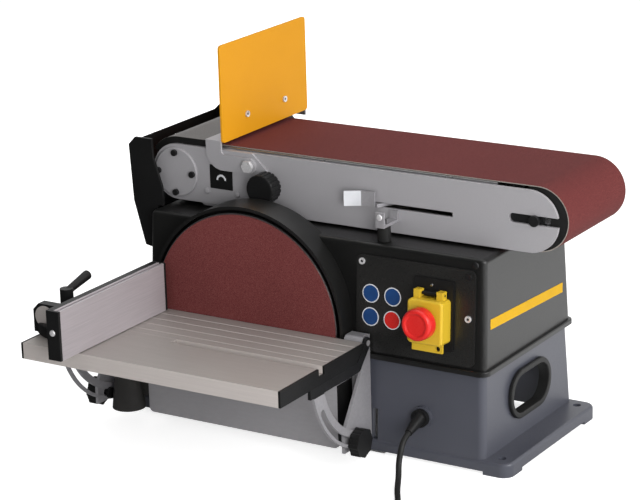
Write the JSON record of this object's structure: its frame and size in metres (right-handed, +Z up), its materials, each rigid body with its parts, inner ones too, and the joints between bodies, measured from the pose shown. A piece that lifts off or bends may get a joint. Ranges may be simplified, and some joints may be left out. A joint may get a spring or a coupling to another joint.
{
  "type": "belt and disc sander",
  "caption": "Bench sander with a wide abrasive belt on a tilting arm, a sanding disc with a tilting table and mitre gauge, a work stop and a lidded stop switch.",
  "frame": {"origin": "middle of the four bench bolt holes, on the bench", "axes": "+X along the sanding belt towards its free end, -Y towards the disc and its table, +Z up"},
  "size_m": [0.668, 0.5533, 0.461],
  "materials": {
    "grey_base_paint": "satin grey enamel on a casting",
    "grey_guard_paint": "satin grey enamel on sheet steel",
    "black_housing_paint": "satin black enamel",
    "black_plastic": "moulded black plastic",
    "black_rubber": "matt black rubber",
    "cord_rubber": "black cord sheath",
    "silver_arm": "silver grey paint on cast aluminium",
    "table_aluminium": "bright machined extrusion",
    "cast_aluminium": "turned aluminium",
    "bright_steel": "zinc plated or ground steel",
    "abrasive_cloth": "red-brown abrasive grain on cloth",
    "yellow_paint": "gloss yellow enamel",
    "yellow_plastic": "moulded yellow plastic",
    "red_plastic": "moulded red plastic",
    "green_plastic": "moulded green plastic"
  },
  "bodies": {
    "machine": {"base_casting": "grey_base_paint", "handle_grommets": "black_rubber", "housing_shell": "black_housing_paint", "drum_hood": "black_plastic", "lower_disc_guard": "grey_guard_paint", "dust_spigot": "black_plastic", "table_brackets": "bright_steel", "machine_screws": "bright_steel", "switch_panel": "black_housing_paint", "switch_body": "black_plastic", "motor_end_bells": "cast_aluminium", "motor_stator": "bright_steel", "pivot_bracket": "silver_arm", "drive_belt": "black_rubber", "rear_belt_cover": "black_plastic", "cord_gland": "black_plastic", "power_cord": "cord_rubber", "cord_coil": "cord_rubber", "mains_plug": "black_plastic"},
    "rotor": {"motor_rotor": "bright_steel", "motor_bearings": "bright_steel", "motor_pulley": "cast_aluminium", "disc_plate": "cast_aluminium", "abrasive_disc": "abrasive_cloth"},
    "drum": {"drive_drum": "cast_aluminium", "drum_pulley": "cast_aluminium", "drum_bearings": "bright_steel"},
    "arm": {"arm_plate_front": "silver_arm", "arm_plate_rear": "silver_arm", "platen": "bright_steel", "drive_end_casting": "silver_arm", "drum_cover": "silver_arm", "arm_screws": "bright_steel", "drum_guard": "black_housing_paint", "stop_bracket": "black_housing_paint", "stop_plate": "yellow_paint", "abrasive_belt": "abrasive_cloth", "bumper_bracket": "silver_arm", "bumper_foot": "black_rubber"},
    "tension_lever": {"tension_lever": "bright_steel"},
    "idler_carriage": {"idler_yoke": "bright_steel", "idler_axle": "bright_steel", "tension_spring": "bright_steel"},
    "idler_roller": {"idler_drum": "cast_aluminium", "idler_bearings": "bright_steel"},
    "tracking_knob": {"tracking_knob": "black_plastic"},
    "table": {"table_top": "table_aluminium", "table_end_caps": "black_plastic", "table_trunnions": "bright_steel"},
    "table_knob_left": {"table_knob_left": "black_plastic"},
    "table_knob_right": {"table_knob_right": "black_plastic"},
    "mitre_slide": {"mitre_bar": "bright_steel"},
    "mitre_gauge": {"mitre_head": "black_plastic", "fence_rail": "table_aluminium", "fence_end_caps": "black_plastic"},
    "mitre_lever": {"mitre_lever": "black_plastic"},
    "switch_flap": {"switch_flap": "yellow_plastic"},
    "stop_mushroom": {"stop_mushroom": "red_plastic"},
    "start_button": {"start_button": "green_plastic"},
    "stop_button": {"stop_button": "red_plastic"}
  },
  "joints": [
    {"name": "disc_spin", "type": "hinge", "parent": "machine", "child": "rotor", "pos_m": [-0.077, 0, 0.15], "axis": [0, 1, 0], "continuous": true},
    {"name": "arm_tilt", "type": "hinge", "parent": "machine", "child": "arm", "pos_m": [-0.215, 0.0205, 0.297], "axis": [0, -1, 0], "range_deg": [0, 90]},
    {"name": "drum_spin", "type": "hinge", "parent": "arm", "child": "drum", "pos_m": [-0.215, 0.0205, 0.297], "axis": [0, 1, 0], "continuous": true},
    {"name": "tension_lever_swing", "type": "hinge", "parent": "arm", "child": "tension_lever", "pos_m": [0.11299, 0.0205, 0.29], "axis": [0, 0, 1], "range_deg": [0, 58]},
    {"name": "idler_slide", "type": "slide", "parent": "arm", "child": "idler_carriage", "axis": [-1, 0, 0], "range_m": [0, 0.01454]},
    {"name": "idler_spin", "type": "hinge", "parent": "idler_carriage", "child": "idler_roller", "pos_m": [0.27499, 0.0205, 0.297], "axis": [0, 1, 0], "continuous": true},
    {"name": "tracking_knob_turn", "type": "hinge", "parent": "arm", "child": "tracking_knob", "pos_m": [-0.082, -0.076, 0.294], "axis": [0, 1, 0], "range_deg": [-180, 180]},
    {"name": "table_tilt", "type": "hinge", "parent": "machine", "child": "table", "pos_m": [-0.089, -0.128, 0.142], "axis": [1, 0, 0], "range_deg": [0, 45]},
    {"name": "left_table_lock", "type": "hinge", "parent": "machine", "child": "table_knob_left", "pos_m": [-0.285, -0.16192, 0.03107], "axis": [1, 0, 0], "range_deg": [0, 360]},
    {"name": "right_table_lock", "type": "hinge", "parent": "machine", "child": "table_knob_right", "pos_m": [0.1, -0.16192, 0.03107], "axis": [1, 0, 0], "range_deg": [0, 360]},
    {"name": "mitre_bar_slide", "type": "slide", "parent": "table", "child": "mitre_slide", "axis": [1, 0, 0], "range_m": [-0.04, 0.2]},
    {"name": "mitre_turn", "type": "hinge", "parent": "mitre_slide", "child": "mitre_gauge", "pos_m": [-0.212, -0.2325, 0.15], "axis": [0, 0, 1], "range_deg": [-45, 45]},
    {"name": "mitre_lever_turn", "type": "hinge", "parent": "mitre_gauge", "child": "mitre_lever", "pos_m": [-0.232, -0.276, 0.188], "axis": [0, 0, 1], "range_deg": [-30, 60]},
    {"name": "switch_flap_lift", "type": "hinge", "parent": "machine", "child": "switch_flap", "pos_m": [0.1695, -0.11755, 0.21108], "axis": [-1, 0, 0], "range_deg": [0, 90]},
    {"name": "stop_mushroom_push", "type": "slide", "parent": "switch_flap", "child": "stop_mushroom", "axis": [0, 0.9981, -0.0619], "range_m": [0, 0.004], "stiffness_N_per_m": 700},
    {"name": "stop_button_push", "type": "slide", "parent": "machine", "child": "stop_button", "axis": [0, 0.9981, -0.0619], "range_m": [0, 0.004]},
    {"name": "start_button_push", "type": "slide", "parent": "machine", "child": "start_button", "axis": [0, 0.9981, -0.0619], "range_m": [0, 0.003], "stiffness_N_per_m": 700}
  ],
  "couplings": [
    {"joint": "drum_spin", "follows": "disc_spin", "ratio": 0.84615},
    {"joint": "idler_spin", "follows": "disc_spin", "ratio": 0.84615},
    {"joint": "idler_slide", "follows": "tension_lever_swing", "m_per_rad": 0.014367},
    {"joint": "stop_button_push", "follows": "stop_mushroom_push", "ratio": 1}
  ]
}
